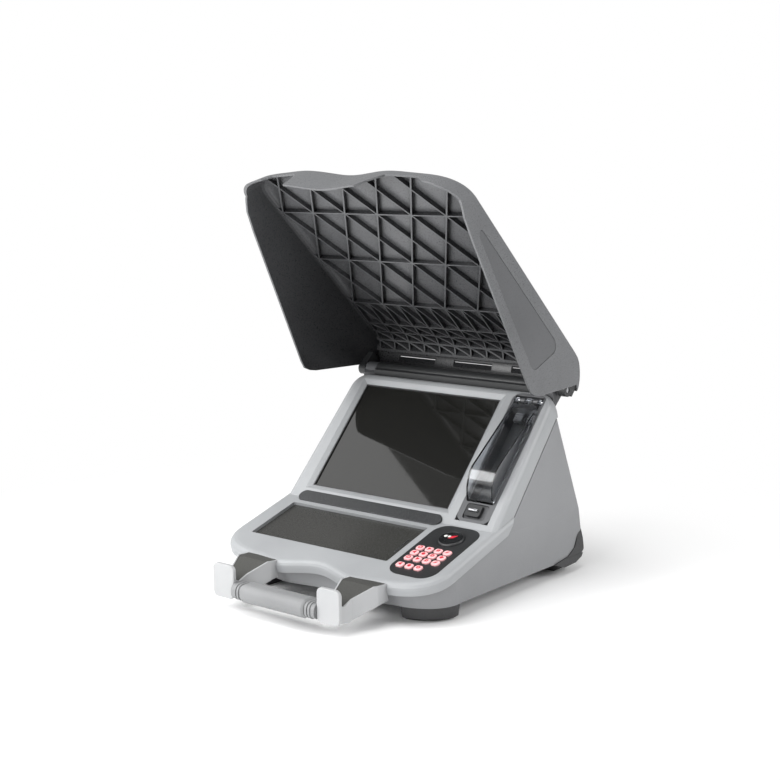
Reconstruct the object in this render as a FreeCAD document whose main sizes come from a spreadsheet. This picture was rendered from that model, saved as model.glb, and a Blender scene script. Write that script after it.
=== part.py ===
import FreeCAD, Part
import math
import os

import Sketcher
from FreeCAD import Matrix, Placement, Rotation, Vector

# Field monitor of a pipe inspection camera: a wedge-shaped housing with a sloped screen, a shallow deck with
# a keypad, a carrying handle in front and a deep ribbed lid that is hinged behind the screen.
# X runs to the right of a person facing the screen, Y runs to the back, Z is up.
# The crease, where the sloped screen face meets the deck, is the datum that everything is placed from.

doc = FreeCAD.newDocument("inspection_monitor")
sheet = doc.addObject("Spreadsheet::Sheet", "sizes")

SIZES = {
    "crease_y": -1.8, "crease_z": 102.9,
    "screen_tilt": 46.9, "screen_run": 229.0,
    "deck_tilt": 16.4, "deck_run": 166.0,
    "underside_z": 21.0, "wall_thickness": 3.0,
    "shell_half_width": 187.0, "bezel_proud": 2.5, "ridge_radius": 9.0, "screen_taper": 9.0,
    "back_top": 160.0, "back_foot": 238.0,
    "seam_below_screen": 27.0, "seam_below_deck": 17.0,
    "window_width": 246.0, "window_height": 184.5, "window_mid": -27.7, "window_low": 24.4,
    "window_depth": 4.0, "window_bevel": 8.0, "glass_lap": 5.0, "glass_thickness": 3.0, "gasket_thickness": 2.0,
    "lcd_thickness": 11.0,
    "panel_width": 246.0, "panel_height": 94.0, "panel_mid_x": -34.0, "panel_mid_y": -64.0, "panel_depth": 4.5,
    "keypad_width": 74.0, "keypad_height": 131.0, "keypad_mid_x": 137.0, "keypad_mid_y": -67.5,
    "keypad_thickness": 3.0, "keypad_corner": 22.0, "keypad_seat": 1.6,
    "key_width": 11.6, "key_height": 10.4, "key_corner": 3.6, "key_pitch_x": 14.7, "key_pitch_y": 13.4,
    "key_first_x": 113.4, "key_first_y": -68.0, "key_last_row": -113.0, "key_travel": 0.8, "key_rise": 2.2,
    "round_key_radius": 18.0, "round_key_x": 140.5, "round_key_y": -35.5, "key_gap": 0.4,
    "bay_width": 54.0, "bay_height": 214.0, "bay_mid_x": 143.5, "bay_mid_y": 116.0, "bay_corner": 12.0,
    "bay_depth": 26.0,
    "cover_width": 42.0, "cover_top": 212.0, "cover_peak": 78.0, "cover_foot": 40.0, "cover_rise": 25.0,
    "cover_wall": 2.0, "cover_pin_radius": 1.5,
    "hinge_back": 177.8, "hinge_z": 272.0, "hinge_radius": 4.0, "knuckle_radius": 9.5, "knuckle_start": 174.5,
    "lid_tilt": 42.3, "roof_rise": 63.2, "lid_half_width": 179.5, "lid_draft": 0.183, "lid_wall": 3.0,
    "lid_front": 389.0, "lid_front_slope": 0.6, "roof_radius": 12.0,
    "rear_cover_width": 170.0, "rear_cover_height": 112.0, "cover_mid_x": -38.0, "cover_mid_y": 126.0,
    "sockets_mid_x": 104.0, "strip_mid_x": -31.0, "strip_width": 258.0, "strip_height": 20.0,
    "round_key_rise": 3.4,
    "rib_depth": 6.5, "rib_thickness": 2.4, "rib_pitch_x": 58.0, "rib_pitch_y": 104.0, "rib_first_y": -99.0,
    "handle_front": 228.0, "plate_inner": 73.0, "plate_outer": 111.0, "plate_low": 17.0, "plate_high": 63.0,
    "plate_thickness": 5.0, "grip_length": 112.0, "grip_depth": 32.0, "grip_height": 25.0, "grip_z": 30.0,
    "foot_height": 21.0,
}
for row, (alias, number) in enumerate(SIZES.items(), 1):
    sheet.set(f"A{row}", alias)
    sheet.set(f"B{row}", str(number))
    sheet.setAlias(f"B{row}", alias)
doc.recompute()


def size(alias):
    """A driving dimension, read back from the sheet."""
    return float(sheet.get(alias))


def amount(expression):
    """A sum of driving dimensions, worked out by the sheet."""
    return float(sheet.evalExpression(expression))


X_AXIS = Vector(1, 0, 0)
Y_AXIS = Vector(0, 1, 0)
Z_AXIS = Vector(0, 0, 1)
CREASE_Y = size("crease_y")
CREASE_Z = size("crease_z")
CREASE = Vector(0, CREASE_Y, CREASE_Z)
WALL = size("wall_thickness")
FAR = 400.0

ON_SCREEN = Placement(CREASE, Rotation(X_AXIS, size("screen_tilt")))
ON_DECK = Placement(CREASE, Rotation(X_AXIS, size("deck_tilt")))
HINGE = Vector(0, CREASE_Y + size("hinge_back"), size("hinge_z"))
ON_LID = Placement(HINGE, Rotation(X_AXIS, -size("lid_tilt")))

parts = []


# ---------------------------------------------------------------- document helpers

def keep(feature, label):
    """Names a finished sub-part, which is then written out."""
    feature.Label = label
    parts.append(feature)
    return feature


def feature(label, shape, placement=None):
    """A sub-part whose shape is worked out here from the sheet's sizes."""
    item = doc.addObject("Part::Feature", label)
    item.Shape = shape
    if placement is not None:
        item.Placement = placement.multiply(shape.Placement)
    return keep(item, label)


def origin_plane(body, role):
    return next(item for item in body.Origin.OriginFeatures if item.Role == role)


def sketch_in(body, name, role="XY_Plane"):
    sketch = body.newObject("Sketcher::SketchObject", name)
    sketch.AttachmentSupport = [(origin_plane(body, role), "")]
    sketch.MapMode = "FlatFace"
    return sketch


def fix(sketch, kind, args, name, expression):
    """Adds a named dimension to a sketch and ties it to the sheet."""
    index = sketch.addConstraint(Sketcher.Constraint(kind, *args))
    sketch.renameConstraint(index, name)
    sketch.setExpression(f"Constraints.{name}", expression)


def rounded_rectangle(sketch, width, height, corner):
    """Rounded rectangle about the sketch's origin; the three sizes are sheet expressions."""
    half_w, half_h, r = amount(width) / 2, amount(height) / 2, amount(corner)
    mids = [(half_w - r, half_h - r, 0), (r - half_w, half_h - r, 90),
            (r - half_w, r - half_h, 180), (half_w - r, r - half_h, 270)]
    corners = [(Vector(half_w, half_h - r), Vector(half_w - r, half_h)),
               (Vector(r - half_w, half_h), Vector(-half_w, half_h - r)),
               (Vector(-half_w, r - half_h), Vector(r - half_w, -half_h)),
               (Vector(half_w - r, -half_h), Vector(half_w, r - half_h))]
    for index, (mid_x, mid_y, start) in enumerate(mids):
        circle = Part.Circle(Vector(mid_x, mid_y, 0), Z_AXIS, r)
        arc = Part.ArcOfCircle(circle, math.radians(start), math.radians(start + 90))
        sketch.addGeometry(arc, False)
        after = corners[(index + 1) % 4][0]
        sketch.addGeometry(Part.LineSegment(corners[index][1], after), False)
    for index in range(4):
        arc, line, next_arc = 2 * index, 2 * index + 1, (2 * index + 2) % 8
        sketch.addConstraint(Sketcher.Constraint("Tangent", arc, 2, line, 1))
        sketch.addConstraint(Sketcher.Constraint("Tangent", line, 2, next_arc, 1))
        sketch.addConstraint(Sketcher.Constraint("Horizontal" if index % 2 == 0 else "Vertical", line))
    for arc in (2, 4, 6):
        sketch.addConstraint(Sketcher.Constraint("Equal", 0, arc))
    fix(sketch, "Radius", (0, r), "corner", corner)
    fix(sketch, "DistanceX", (-1, 1, 0, 1, half_w), "right", f"({width}) / 2")
    fix(sketch, "DistanceY", (-1, 1, 0, 2, half_h), "top", f"({height}) / 2")
    fix(sketch, "DistanceX", (2, 2, -1, 1, half_w), "left", f"({width}) / 2")
    fix(sketch, "DistanceY", (4, 2, -1, 1, half_h), "bottom", f"({height}) / 2")


def pad(body, sketch, length, name, both_ways=False, downwards=False):
    item = body.newObject("PartDesign::Pad", name)
    item.Profile = sketch
    item.setExpression("Length", length)
    item.Midplane = both_ways
    item.Reversed = downwards
    return item


def pocket(body, sketch, length, name, upwards=True):
    item = body.newObject("PartDesign::Pocket", name)
    item.Profile = sketch
    item.setExpression("Length", length)
    item.Reversed = upwards
    return item


def round_rim(body, base, radius, which):
    """Fillets the edges of a feature that a test picks out."""
    doc.recompute()
    names = [f"Edge{i}" for i, edge in enumerate(base.Shape.Edges, 1) if which(edge)]
    item = body.newObject("PartDesign::Fillet", f"{body.Name}_rounding")
    item.Base = (base, names)
    item.Radius = radius
    return item


def at_height(height):
    """Test for edges that lie flat at one height."""
    return lambda edge: all(abs(vertex.Z - height) < 1e-4 for vertex in edge.Vertexes)


def plate(label, width, height, corner, thickness, placement, rounding=0.0):
    """Rounded flat plate: padded up from its own XY plane, with its upper rim rounded if asked."""
    body = doc.addObject("PartDesign::Body", label)
    sketch = sketch_in(body, f"{label}_outline")
    rounded_rectangle(sketch, width, height, corner)
    top = pad(body, sketch, thickness, f"{label}_pad")
    if rounding:
        doc.recompute()
        top = round_rim(body, top, rounding, at_height(top.Length.Value))
    body.Placement = placement
    return keep(body, label), top


def shifted(frame, x=0.0, y=0.0, z=0.0):
    """A place given along the axes of another frame."""
    return frame.multiply(Placement(Vector(x, y, z), Rotation()))


# ---------------------------------------------------------------- shape helpers

def in_frame(shape, frame):
    return shape.transformed(frame.toMatrix())


def box(x0, x1, y0, y1, z0, z1, frame=Placement()):
    return in_frame(Part.makeBox(x1 - x0, y1 - y0, z1 - z0, Vector(x0, y0, z0)), frame)


def tube_x(radius, x0, x1, centre):
    """Round bar along X."""
    return Part.makeCylinder(radius, x1 - x0, Vector(x0, centre.y, centre.z), X_AXIS)


def side_profile(points, x0, x1, origin_y=0.0):
    """Solid cut from a (y, z) outline and running from x0 to x1."""
    corners = [Vector(x0, origin_y + y, z) for y, z in points]
    face = Part.Face(Part.makePolygon(corners + corners[:1]))
    return face.extrude(Vector(x1 - x0, 0, 0))


def rounded_wire(corners, radii):
    """Closed outline whose corners are rounded where a radius is given; the corners are in one plane."""
    edges = []
    count = len(corners)
    ends = []
    for index, corner in enumerate(corners):
        before = (corners[index - 1] - corner).normalize()
        after = (corners[(index + 1) % count] - corner).normalize()
        half_angle = before.getAngle(after) / 2
        reach = radii[index] / math.tan(half_angle)
        middle = (before + after).normalize()
        depth = radii[index] / math.sin(half_angle) - radii[index]
        ends.append((corner + before * reach, corner + middle * depth, corner + after * reach))
    for index, (start, through, end) in enumerate(ends):
        if radii[index]:
            edges.append(Part.Arc(start, through, end).toShape())
        edges.append(Part.makeLine(end, ends[(index + 1) % count][0]))
    return Part.Wire(edges)


def rounded_side(points, radii, x0, x1, origin_y=0.0):
    """Solid cut from a (y, z) outline with rounded corners and running from x0 to x1."""
    wire = rounded_wire([Vector(x0, origin_y + y, z) for y, z in points], radii)
    return Part.Face(wire).extrude(Vector(x1 - x0, 0, 0))


def flat_profile(points, z0, z1, frame=Placement()):
    """Solid cut from an (x, y) outline and running from z0 to z1."""
    corners = [Vector(x, y, z0) for x, y in points]
    face = Part.Face(Part.makePolygon(corners + corners[:1]))
    return in_frame(face.extrude(Vector(0, 0, z1 - z0)), frame)


def rounded_slab(x0, x1, y0, y1, z0, z1, radius, frame=Placement()):
    """Box with its four upright edges rounded."""
    slab = Part.makeBox(x1 - x0, y1 - y0, z1 - z0, Vector(x0, y0, z0))
    upright = [edge for edge in slab.Edges if abs(edge.tangentAt(edge.FirstParameter).z) > 0.99]
    return in_frame(slab.makeFillet(radius, upright), frame)


def frustum(x0, x1, y0, y1, z0, grow, z1, frame=Placement()):
    """Four-sided funnel: the rectangle at z0 grows by a margin on every side at z1."""
    def ring(margin, z):
        corners = [Vector(x0 - margin, y0 - margin, z), Vector(x1 + margin, y0 - margin, z),
                   Vector(x1 + margin, y1 + margin, z), Vector(x0 - margin, y1 + margin, z)]
        return Part.makePolygon(corners + corners[:1])
    return in_frame(Part.makeLoft([ring(0, z0), ring(grow, z1)], True, True), frame)


def mirrored(shape):
    """The same shape on the other side of the YZ plane."""
    return shape.mirror(Vector(), X_AXIS)


def one_solid(shape):
    solids = shape.Solids
    return max(solids, key=lambda item: item.Volume)


def swung(x, y, angle):
    turn = math.radians(angle)
    return (x * math.cos(turn) - y * math.sin(turn), x * math.sin(turn) + y * math.cos(turn))


# ---------------------------------------------------------------- housing outline

def bowed_outline(half_width, front, scoop, corner, back, back_corner, z, taper=0.0):
    """Plan outline with a double-bowed front edge: round corners, two lobes and a scoop between them.

    The sides may draw in by a taper towards the back, where the two corners are round too.
    """
    lobe = 68.0
    right = [(half_width, front + corner), (half_width - 0.1 * corner, front + 0.6 * corner),
             (half_width - 0.36 * corner, front + 0.33 * corner), (half_width - 0.8 * corner, front + 0.16 * corner),
             (half_width - 1.4 * corner, front + 0.075 * corner), (lobe, front), (0.5 * lobe, front + 0.52 * scoop)]
    points = [Vector(x, y, z) for x, y in right] + [Vector(0, front + scoop, z)]
    points += [Vector(-x, y, z) for x, y in reversed(right)]
    curve = Part.BSplineCurve()
    curve.interpolate(Points=points, InitialTangent=Vector(0, -1, 0), FinalTangent=Vector(0, 1, 0), Scale=False)
    half_back = half_width - taper
    inner = half_back - back_corner
    bulge = inner + back_corner * math.sqrt(0.5)
    rise = back - back_corner + back_corner * math.sqrt(0.5)
    left = [Vector(-half_back, back - back_corner, z), Vector(-bulge, rise, z), Vector(-inner, back, z)]
    right = [Vector(inner, back, z), Vector(bulge, rise, z), Vector(half_back, back - back_corner, z)]
    return Part.Wire([curve.toShape(), Part.makeLine(points[-1], left[0]), Part.Arc(*left).toShape(),
                      Part.makeLine(left[2], right[0]), Part.Arc(*right).toShape(),
                      Part.makeLine(right[2], points[0])])


def cushioned(outline, radius, depth, flare, frame, steps=4):
    """Block that hangs below an outline at z = 0: a rounded upper rim, then walls that flare out.

    The outline is a function of (inset, z).
    """
    sections = []
    for step in range(steps + 1):
        turn = math.pi / 2 * step / steps
        sections.append(outline(radius * (1 - math.sin(turn)), radius * (math.cos(turn) - 1)))
    sections.append(outline(-flare, -depth))
    return in_frame(Part.makeLoft(sections, True, True), frame)


def point_on(frame, y, z):
    """A point of a sloped frame's middle plane, as (y, z) measured from the crease in y."""
    place = frame.multVec(Vector(0, y, z))
    return place.y - CREASE_Y, place.z


def housing_back(proud):
    """Side outline of the housing's rear and underside, as a slab wider than the housing."""
    back = size("back_top") + proud
    foot = size("back_foot") + proud
    low = size("underside_z") - proud
    points = [(-FAR, FAR), (back, FAR), (back, 232.0), (foot, low + 10), (foot - 10, low), (-FAR, low)]
    return side_profile(points, -FAR, FAR, CREASE_Y)


def bezel_block(shrink):
    """Everything under the deck and the screen face, shrunk by a margin on all sides."""
    half = size("shell_half_width") + size("bezel_proud") - shrink
    front = shrink - size("deck_run")
    radius = size("ridge_radius") - shrink

    def deck_outline(inset, z):
        return bowed_outline(half - inset, front + inset, 16, 62, 160, 5, z)

    def screen_outline(inset, z):
        back = size("screen_run") - shrink - inset
        return bowed_outline(half - inset, -170, 16, 62, back, 24, z, size("screen_taper"))

    deck = cushioned(deck_outline, radius, 150, 2, shifted(ON_DECK, z=-shrink))
    screen = cushioned(screen_outline, radius, 150, 2, shifted(ON_SCREEN, z=-shrink))
    return deck.fuse(screen).common(housing_back(3.0 - shrink))


def shell_block(proud):
    """Everything inside the lower shell, whose walls draw in towards the underside."""
    half = size("shell_half_width") + proud
    front = CREASE_Y - size("deck_run") * math.cos(math.radians(size("deck_tilt"))) + 4 - proud
    sections = [(half - 9.0, front + 24, 8, size("underside_z") - 4), (half, front, 16, 96.0),
                (half - 8.0, front, 16, 290.0)]
    plans = [bowed_outline(width, lobe, scoop, 62, size("back_foot") + 14 + proud, 18, z)
             for width, lobe, scoop, z in sections]
    return Part.makeLoft(plans, True, True).common(housing_back(proud))


def seam_region(shift):
    """Everything above the joint between bezel and shell, with the joint moved up by a small shift."""
    front_y, front_z = point_on(ON_DECK, -300, -size("seam_below_deck"))
    deck_y, deck_z = point_on(ON_DECK, 0, -size("seam_below_deck"))
    side_y, side_z = point_on(ON_SCREEN, 0, -size("seam_below_screen"))
    deck_slope = math.tan(math.radians(size("deck_tilt")))
    screen_slope = math.tan(math.radians(size("screen_tilt")))
    turn_y = (deck_z - side_z - deck_slope * deck_y + screen_slope * side_y) / (screen_slope - deck_slope)
    turn_z = deck_z + deck_slope * (turn_y - deck_y)
    back_z = 234.0
    back_y = turn_y + (back_z - turn_z) / screen_slope
    points = [(front_y, front_z), (turn_y, turn_z), (back_y, back_z), (FAR, back_z), (FAR, FAR), (front_y, FAR)]
    return side_profile([(y, z + shift) for y, z in points], -FAR, FAR, CREASE_Y)




# ---------------------------------------------------------------- sloped places on the housing

WINDOW_X0 = size("window_mid") - size("window_width") / 2
WINDOW_X1 = size("window_mid") + size("window_width") / 2
WINDOW_Y0 = size("window_low")
WINDOW_Y1 = size("window_low") + size("window_height")
WINDOW_MID_Y = (WINDOW_Y0 + WINDOW_Y1) / 2
BAY_X0 = size("bay_mid_x") - size("bay_width") / 2
BAY_X1 = size("bay_mid_x") + size("bay_width") / 2
BAY_Y0 = size("bay_mid_y") - size("bay_height") / 2
BAY_Y1 = size("bay_mid_y") + size("bay_height") / 2
STRIP_TILT = (size("screen_tilt") + size("deck_tilt")) / 2
ON_STRIP = Placement(CREASE, Rotation(X_AXIS, STRIP_TILT))
BACK_TILT = -math.degrees(math.atan2(232.0 - size("underside_z") - 10, size("back_foot") - size("back_top")))
ON_BACK = Placement(Vector(0, CREASE_Y + size("back_top"), 232.0), Rotation(X_AXIS, BACK_TILT))


def key_places():
    """Centres of the fifteen keys on the deck: three rows of four and a last row of three."""
    places = []
    for row in range(3):
        for column in range(4):
            places.append((size("key_first_x") + column * size("key_pitch_x"),
                           size("key_first_y") - row * size("key_pitch_y")))
    for column in range(3):
        places.append((size("key_first_x") + column * size("key_pitch_x"), size("key_last_row")))
    return places


def around(mid_x, mid_y, width, height, margin, z0, z1, radius, frame):
    """Rounded slab about a centre, grown by a margin."""
    half_w, half_h = width / 2 + margin, height / 2 + margin
    return rounded_slab(mid_x - half_w, mid_x + half_w, mid_y - half_h, mid_y + half_h, z0, z1, radius, frame)


def panel_slab(margin, z0, z1, radius=2.5):
    return around(size("panel_mid_x"), size("panel_mid_y"), size("panel_width"), size("panel_height"),
                  margin, z0, z1, radius, ON_DECK)


def keypad_slab(margin, z0, z1):
    return around(size("keypad_mid_x"), size("keypad_mid_y"), size("keypad_width"), size("keypad_height"),
                  margin, z0, z1, size("keypad_corner") + margin, ON_DECK)


def bay_slab(margin, z0, z1):
    return rounded_slab(BAY_X0 - margin, BAY_X1 + margin, BAY_Y0 - margin, BAY_Y1 + margin, z0, z1,
                        size("bay_corner") + margin, ON_SCREEN)


def strip_slab(margin, z0, z1):
    return around(size("strip_mid_x"), 1.5, size("strip_width"), size("strip_height"), margin, z0, z1,
                  size("strip_height") / 2 - 0.2 + margin, ON_STRIP)


# ---------------------------------------------------------------- housing shells

REAR_FOOT = [(161, 21), (187, 12), (218, 13), (234, 19), (243, 33), (231, 65), (218, 55), (213, 36), (198, 26)]
FRONT_FOOT_BACK = -66.0


def rear_foot_block():
    """Corner block of the right-hand rear foot: it wraps the shell's lower edge and stands on a smaller sole."""
    block = side_profile(REAR_FOOT, 116, size("shell_half_width") - 4.0, CREASE_Y).common(shell_block(1.6).fuse(
        box(100, 181, CREASE_Y + 140, CREASE_Y + 260, -1, 24)))
    sole = [(124, 198), (156, 198), (156, 228), (124, 228)]
    top = [(118, 186), (176, 186), (176, 234), (118, 234)]
    wires = [Part.makePolygon([Vector(x, CREASE_Y + y, z) for x, y in outline + outline[:1]])
             for outline, z in ((sole, 0.0), (top, 15.0))]
    return one_solid(block.fuse(Part.makeLoft(wires, True, True)))


def top_bezel():
    """Moulded cover with the screen window, the recessed panel, the keypad seat and the side bay opening."""
    block = bezel_block(0.0)
    shell = block.cut(bezel_block(WALL))
    ring = size("glass_lap") + 4.0
    pans = [box(WINDOW_X0 - ring, WINDOW_X1 + ring, WINDOW_Y0 - ring, WINDOW_Y1 + ring, -13, -1, ON_SCREEN),
            panel_slab(2.5, -size("panel_depth") - 5.0, -1),
            keypad_slab(2.5, -9.0, -1),
            bay_slab(2.5, -14, -1)]
    for pan in pans:
        shell = shell.fuse(pan.common(block))
    shell = shell.common(seam_region(0.4))
    lap = size("glass_lap") + 0.2
    grow = size("window_bevel")
    depth = size("window_depth")
    cutters = [frustum(WINDOW_X0, WINDOW_X1, WINDOW_Y0, WINDOW_Y1, -depth, grow * 1.25, depth * 0.25, ON_SCREEN),
               box(WINDOW_X0, WINDOW_X1, WINDOW_Y0, WINDOW_Y1, -30, 0, ON_SCREEN),
               box(WINDOW_X0 - lap, WINDOW_X1 + lap, WINDOW_Y0 - lap, WINDOW_Y1 + lap, -30, -depth, ON_SCREEN),
               panel_slab(0.0, -size("panel_depth") - 2.5, 8),
               keypad_slab(0.3, -size("keypad_thickness"), 8),
               keypad_slab(-3.0, -6.5, 0),
               bay_slab(0.0, -11.6, 8),
               box(BAY_X0, BAY_X1, BAY_Y0, 198.5, -40, 0, ON_SCREEN),
               strip_slab(0.3, 0.4, 12)]
    for cutter in cutters:
        shell = shell.cut(cutter)
    return one_solid(shell)


def back_opening(x0, x1, y0, y1, radius, depth=20):
    return rounded_slab(x0, x1, y0, y1, -depth, depth, radius, ON_BACK)


def lower_shell(foot_notch):
    """Deep tub that closes the wedge from below and behind."""
    shell = shell_block(0.0).cut(shell_block(-WALL)).cut(seam_region(-0.4))
    cover_x, cover_y = size("cover_mid_x"), size("cover_mid_y")
    half_w, half_h = size("rear_cover_width") / 2, size("rear_cover_height") / 2
    shell = shell.cut(back_opening(cover_x - half_w + 9, cover_x + half_w - 9, cover_y - half_h + 9,
                                   cover_y + half_h - 9, 6))
    sockets_x = size("sockets_mid_x")
    shell = shell.cut(back_opening(sockets_x - 26, sockets_x + 26, cover_y - 36, cover_y + 36, 6))
    for index in range(9):
        slot_x = -44.0 + 11.0 * index
        shell = shell.cut(back_opening(slot_x - 1.8, slot_x + 1.8, 16, 46, 1.7))
    for foot in foot_notch:
        shell = shell.cut(foot)
    for x in (-80.0, 80.0):
        for y in (-40.0, 90.0):
            shell = shell.fuse(Part.makeCylinder(4.0, 10.0, Vector(x, CREASE_Y + y, size("underside_z") + 2)))
    thumb_marks = [(198.0, 24.0, 40.0), (198.0, 24.0, 66.0)]
    for y, z, radius in thumb_marks:
        for side in (-1, 1):
            start = side * (size("shell_half_width") + 3.5)
            centre = Vector(0, CREASE_Y + y, z)
            outer = tube_x(radius, min(start, start - side * 7.5), max(start, start - side * 7.5), centre)
            ring = outer.cut(tube_x(radius - 2.0, -FAR, FAR, centre))
            ring = ring.common(box(-FAR, FAR, CREASE_Y + y - radius, CREASE_Y + y - 0.55 * radius, 24, 52))
            shell = shell.cut(ring)
    return one_solid(shell)


right_rear_foot = rear_foot_block()
bezel = top_bezel()
shell = lower_shell([right_rear_foot, mirrored(right_rear_foot)])
feature("top_bezel", bezel)
feature("lower_shell", shell)
feature("rear_foot_right", right_rear_foot)
feature("rear_foot_left", mirrored(right_rear_foot))


def front_foot():
    """Rubber pad that wraps the rounded front corner under the shell."""
    half = size("shell_half_width") - 9.0
    front = CREASE_Y - size("deck_run") * math.cos(math.radians(size("deck_tilt"))) + 30
    plans = [bowed_outline(half - 9, front + 10, 6, 62, 100, 18, 0.0),
             bowed_outline(half - 2, front + 3, 6, 62, 100, 18, 5.0),
             bowed_outline(half + 0.5, front - 0.5, 6, 62, 100, 18, size("foot_height"))]
    block = Part.makeLoft(plans, True, True)
    corner = box(123, FAR, -FAR, CREASE_Y + FRONT_FOOT_BACK, -1, size("foot_height"))
    return one_solid(block.common(corner).cut(shell_block(0.0)))


right_front_foot = front_foot()
feature("front_foot_right", right_front_foot)
feature("front_foot_left", mirrored(right_front_foot))


# ---------------------------------------------------------------- screen and panels

def window_frame():
    """Black rubber frame between the bezel and the glass."""
    lap = size("glass_lap")
    depth, thick = size("window_depth"), size("gasket_thickness")
    outer = box(WINDOW_X0 - lap, WINDOW_X1 + lap, WINDOW_Y0 - lap, WINDOW_Y1 + lap, -depth - thick, -depth,
                ON_SCREEN)
    return outer.cut(box(WINDOW_X0 + 1.2, WINDOW_X1 - 1.2, WINDOW_Y0 + 1.2, WINDOW_Y1 - 1.2, -30, 0, ON_SCREEN))


feature("display_gasket", window_frame())
glass_top = size("window_depth") + size("gasket_thickness")
plate("display_glass", "sizes.window_width + 2 * sizes.glass_lap", "sizes.window_height + 2 * sizes.glass_lap",
      "2", "sizes.glass_thickness",
      shifted(ON_SCREEN, size("window_mid"), WINDOW_MID_Y, -glass_top - size("glass_thickness")))
plate("lcd_module", "sizes.window_width + 6", "sizes.window_height + 6", "1.5", "sizes.lcd_thickness",
      shifted(ON_SCREEN, size("window_mid"), WINDOW_MID_Y, -glass_top - size("glass_thickness")
              - size("lcd_thickness") - 0.3))
plate("control_panel", "sizes.panel_width - 0.6", "sizes.panel_height - 0.6", "2.2", "2.5",
      shifted(ON_DECK, size("panel_mid_x"), size("panel_mid_y"), -size("panel_depth") - 2.5), 0.4)
feature("name_strip", strip_slab(0.0, 0.4, 3.4))


# ---------------------------------------------------------------- keypad

def keypad_plate():
    """Black plate with one hole for each key, flush with the deck."""
    holes = keypad_slab(0.0, -size("keypad_thickness"), 0.0)
    gap = size("key_gap")
    for x, y in key_places():
        holes = holes.cut(around(x, y, size("key_width"), size("key_height"), gap, -9, 5,
                                 size("key_corner") + gap, ON_DECK))
    round_hole = Part.makeCylinder(size("round_key_radius") + gap, 20, Vector(0, 0, -10))
    return holes.cut(in_frame(round_hole, shifted(ON_DECK, size("round_key_x"), size("round_key_y"))))


feature("keypad_plate", keypad_plate())
plate("keypad_membrane", "sizes.keypad_width - 6.8", "sizes.keypad_height - 6.8", "sizes.keypad_corner - 3.5",
      "1.5", shifted(ON_DECK, size("keypad_mid_x"), size("keypad_mid_y"), -6.5))

for number, (key_x, key_y) in enumerate(key_places(), 1):
    label = f"key_{number:02d}"
    body, cap = plate(label, "sizes.key_width", "sizes.key_height", "sizes.key_corner",
                      "4 + sizes.key_rise", shifted(ON_DECK, key_x, key_y, -4.0), 0.9)
    flange_sketch = sketch_in(body, f"{label}_flange_outline")
    rounded_rectangle(flange_sketch, "sizes.key_width + 1.6", "sizes.key_height + 1.6", "sizes.key_corner")
    pad(body, flange_sketch, "0.8", f"{label}_flange")


def disc(body, radius, length, name):
    """Round pad on the body's own XY plane; radius and length are sheet expressions."""
    sketch = sketch_in(body, f"{name}_circle")
    circle = sketch.addGeometry(Part.Circle(Vector(), Z_AXIS, amount(radius)), False)
    sketch.addConstraint(Sketcher.Constraint("Coincident", circle, 3, -1, 1))
    fix(sketch, "Radius", (circle, amount(radius)), "radius", radius)
    return pad(body, sketch, length, name)


def round_key():
    """Large key with a well-rounded crown and a retaining rim below the plate."""
    body = doc.addObject("PartDesign::Body", "round_key")
    crown = disc(body, "sizes.round_key_radius", "4 + sizes.round_key_rise", "round_key_crown")
    round_rim(body, crown, 3.0, at_height(4 + size("round_key_rise")))
    disc(body, "sizes.round_key_radius + 0.9", "0.8", "round_key_rim")
    body.Placement = shifted(ON_DECK, size("round_key_x"), size("round_key_y"), -4.0)
    return keep(body, "round_key")


round_key()


# ---------------------------------------------------------------- side bay with its clear cover

HINGE_Y = size("cover_top")
PIN_Z = -3.0
LINER_KNUCKLES = [(-14.0, -5.0), (7.0, 16.0)]
COVER_KNUCKLES = [(-22.5, -14.4), (-4.6, 6.6), (16.4, 22.5)]


def bay_rod(radius, x0, x1):
    centre = Vector(0, HINGE_Y, PIN_Z)
    return in_frame(tube_x(radius, size("bay_mid_x") + x0, size("bay_mid_x") + x1, centre), ON_SCREEN)


def bay_liner():
    """Dark tub in the bay: a deep well for the memory sticks, a shelf for the latch and a hinge trough."""
    mid = size("bay_mid_x")
    tub = bay_slab(-0.15, -size("bay_depth"), -0.3)
    tub = tub.cut(box(mid - 40, mid + 40, 198.3, 240, -40, -11.4, ON_SCREEN))
    tub = tub.cut(box(mid - 24, mid + 24, 42, 196, -24, 5, ON_SCREEN))
    tub = tub.cut(box(mid - 23.2, mid + 23.2, HINGE_Y - 7.5, HINGE_Y + 6.5, -9, 5, ON_SCREEN))
    tub = tub.cut(rounded_slab(mid - 18, mid + 18, 14, 38, -4.0, 5, 4, ON_SCREEN))
    for x0, x1 in LINER_KNUCKLES:
        arm = box(mid + x0, mid + x1, HINGE_Y - 3.6, HINGE_Y + 3.6, -10, PIN_Z, ON_SCREEN)
        tub = tub.fuse(bay_rod(3.6, x0, x1)).fuse(arm)
    return one_solid(tub.cut(bay_rod(size("cover_pin_radius"), -25.5, 25.5)))


def cover_outline(wall, low):
    """Side outline of the clear cover in the screen's frame: low at the hinge, high and round at the latch."""
    peak, rise, foot = size("cover_peak"), size("cover_rise"), size("cover_foot")
    hinge_end = HINGE_Y - 9.0
    start = Vector(0, hinge_end - wall, low)
    roof = Vector(0, hinge_end - wall, 2.4 - wall)
    brow = Vector(0, peak + 4, rise - wall)
    nose = Vector(0, peak - 19, rise - 6 - 1.2 * wall)
    chin = Vector(0, foot + wall, low)
    return Part.Wire([Part.makeLine(start, roof), Part.makeLine(roof, brow), Part.Arc(brow, nose, chin).toShape(),
                      Part.makeLine(chin, start)])


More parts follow.
